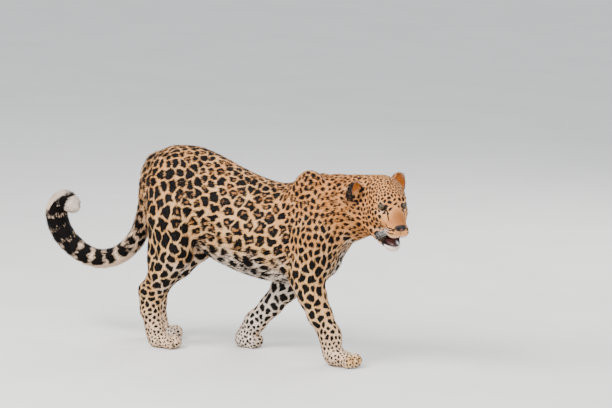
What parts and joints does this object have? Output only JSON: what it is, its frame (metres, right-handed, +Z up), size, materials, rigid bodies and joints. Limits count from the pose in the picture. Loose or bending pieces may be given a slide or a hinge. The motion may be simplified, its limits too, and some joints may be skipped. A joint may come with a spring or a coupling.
{
  "type": "walking leopard",
  "caption": "Life-size still model of a leopard in mid stride, head turned to its right, mouth a little open and tail curled up at the tip.",
  "frame": {"origin": "on the floor, under the middle of the model's bounding box", "axes": "+X the way the body faces, +Y the animal's left side, +Z up"},
  "size_m": [1.3784, 0.3194, 0.669],
  "materials": {
    "coat": "short dense fur, orange tan with black rosettes and spots",
    "ear_fur": "short fur, black behind with a pale rim",
    "eye": "wet gloss, yellow-green iris and round black pupil",
    "tongue": "moist satin pink"
  },
  "bodies": {
    "root": {"head": "coat", "neck": "coat", "torso": "coat", "foreleg_right": "coat", "foreleg_left": "coat", "forepaw_right": "coat", "forepaw_left": "coat", "hindleg_right": "coat", "hindleg_left": "coat", "hindpaw_right": "coat", "hindpaw_left": "coat", "tail_base": "coat", "tail_middle": "coat", "tail_tip": "coat", "ear_right": "ear_fur", "ear_left": "ear_fur", "eye_right": "eye", "eye_left": "eye", "tongue": "tongue"}
  },
  "joints": []
}
